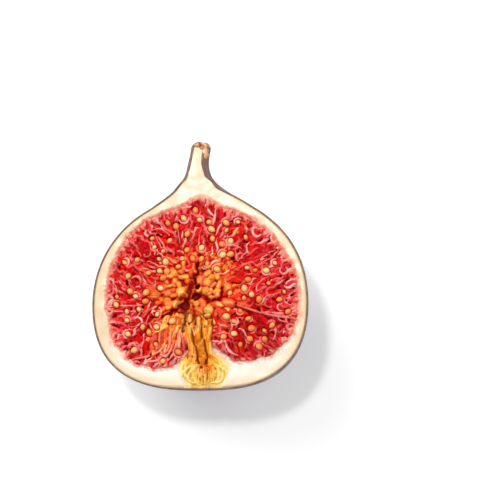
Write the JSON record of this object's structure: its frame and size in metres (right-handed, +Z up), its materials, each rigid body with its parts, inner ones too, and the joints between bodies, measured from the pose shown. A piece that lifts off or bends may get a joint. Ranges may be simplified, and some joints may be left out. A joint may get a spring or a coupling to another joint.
{
  "type": "halved fresh fig",
  "caption": "Half of a ripe fresh fig with its stalk, cut from stalk to eye and lying on its round back: dark skin and pale rind round red flowers, golden seeds and eye scales.",
  "frame": {"origin": "on the surface that the half rests on, under the middle of its bounding box", "axes": "+Y from the eye end to the stalk, +X across the cut face, +Z up out of the cut face"},
  "size_m": [0.0564, 0.0648, 0.0285],
  "materials": {
    "skin": "satin",
    "flesh": "satin",
    "stalk_tip": "matte",
    "pulp": "gloss",
    "seeds": "gloss",
    "scales": "satin"
  },
  "bodies": {
    "root": {"rind": "skin", "pulp": "pulp", "eye_scales": "scales"}
  },
  "joints": []
}
